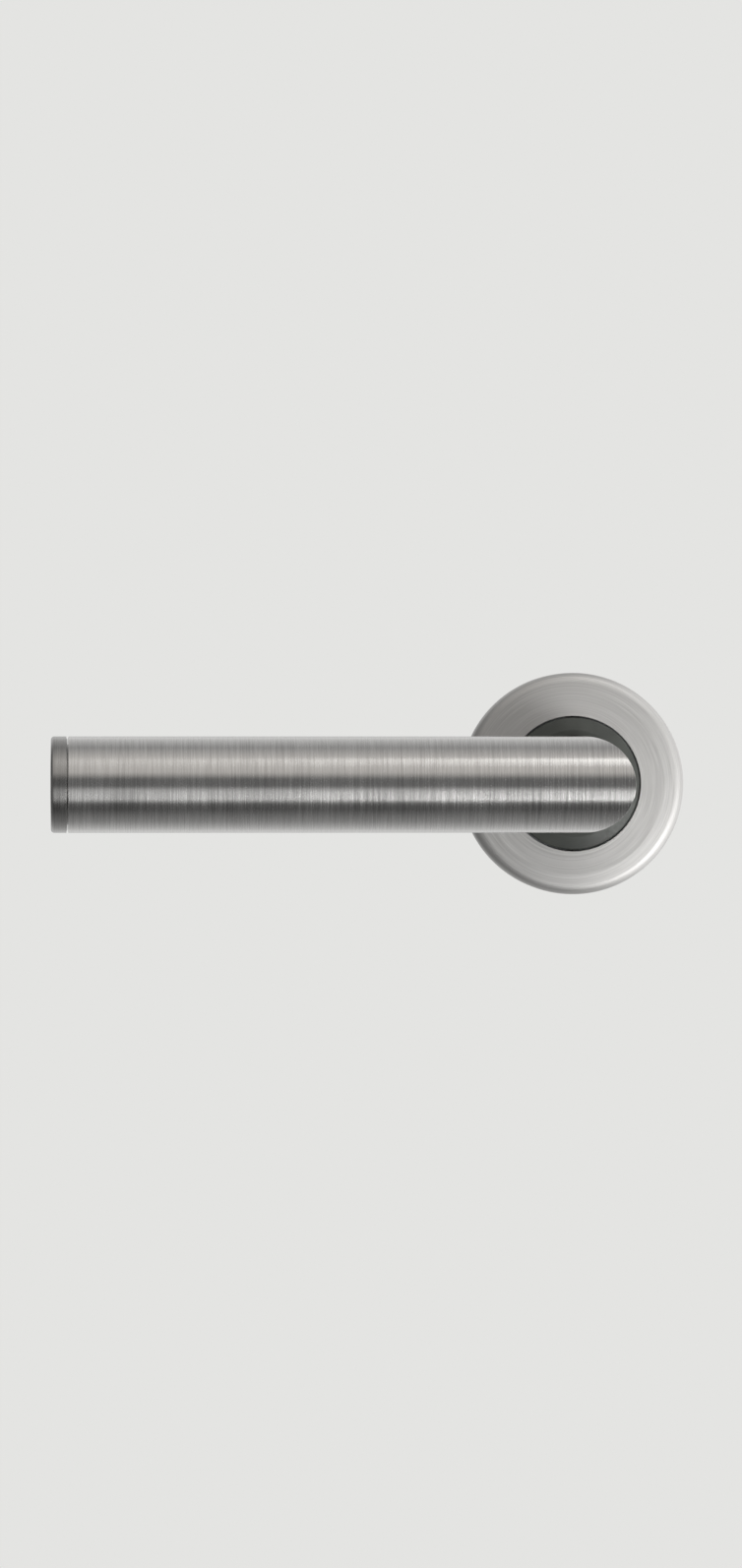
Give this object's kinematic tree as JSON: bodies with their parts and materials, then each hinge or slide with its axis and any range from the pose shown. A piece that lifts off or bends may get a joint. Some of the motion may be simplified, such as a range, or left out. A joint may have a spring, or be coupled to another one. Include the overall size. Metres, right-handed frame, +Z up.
{
  "type": "door lever handle",
  "caption": "Mitred round-tube lever on a plain round rose, satin stainless, with return spring, square spindle and through-bolts.",
  "frame": {"origin": "where the spindle axis meets the door's face, at the centre of the rose's back", "axes": "+Y along the spindle into the door, +Z up, the lever in front of the door at negative Y and pointing to -X"},
  "size_m": [0.148, 0.13, 0.052],
  "materials": {
    "satin_stainless": "satin brushed",
    "dark_nylon": "moulded matt",
    "pale_nylon": "moulded matt",
    "cast_zinc": "as cast",
    "zinc_plate": "bright zinc plate",
    "bright_steel": "turned",
    "spring_steel": "oiled drawn wire"
  },
  "bodies": {
    "rose": {"rose_cover": "satin_stainless", "rose_base": "cast_zinc", "bearing_collar": "dark_nylon", "cover_snap_ring": "spring_steel", "back_plate": "zinc_plate", "rear_bush": "pale_nylon", "plate_rivet_1": "bright_steel", "plate_rivet_2": "bright_steel", "plate_rivet_3": "bright_steel", "stop_pin_rest": "bright_steel", "stop_pin_travel": "bright_steel", "spring_anchor_pin": "bright_steel", "return_spring": "spring_steel", "fixing_bolt_upper": "zinc_plate", "fixing_bolt_lower": "zinc_plate", "bolt_sleeve_upper": "zinc_plate", "bolt_sleeve_lower": "zinc_plate"},
    "lever": {"grip_tube": "satin_stainless", "end_cap": "satin_stainless", "neck_tube": "satin_stainless", "hub": "cast_zinc", "set_screw": "bright_steel", "spindle": "zinc_plate", "driver_plate": "zinc_plate", "retaining_ring": "spring_steel", "thrust_washer": "bright_steel"}
  },
  "joints": [
    {"name": "lever_turn", "type": "hinge", "parent": "rose", "child": "lever", "pos_m": [0, 0, 0], "axis": [0, -1, 0], "range_deg": [0, 45], "stiffness_Nm_per_rad": 1, "springref_deg": -22.92, "deforming": ["return_spring"]}
  ]
}
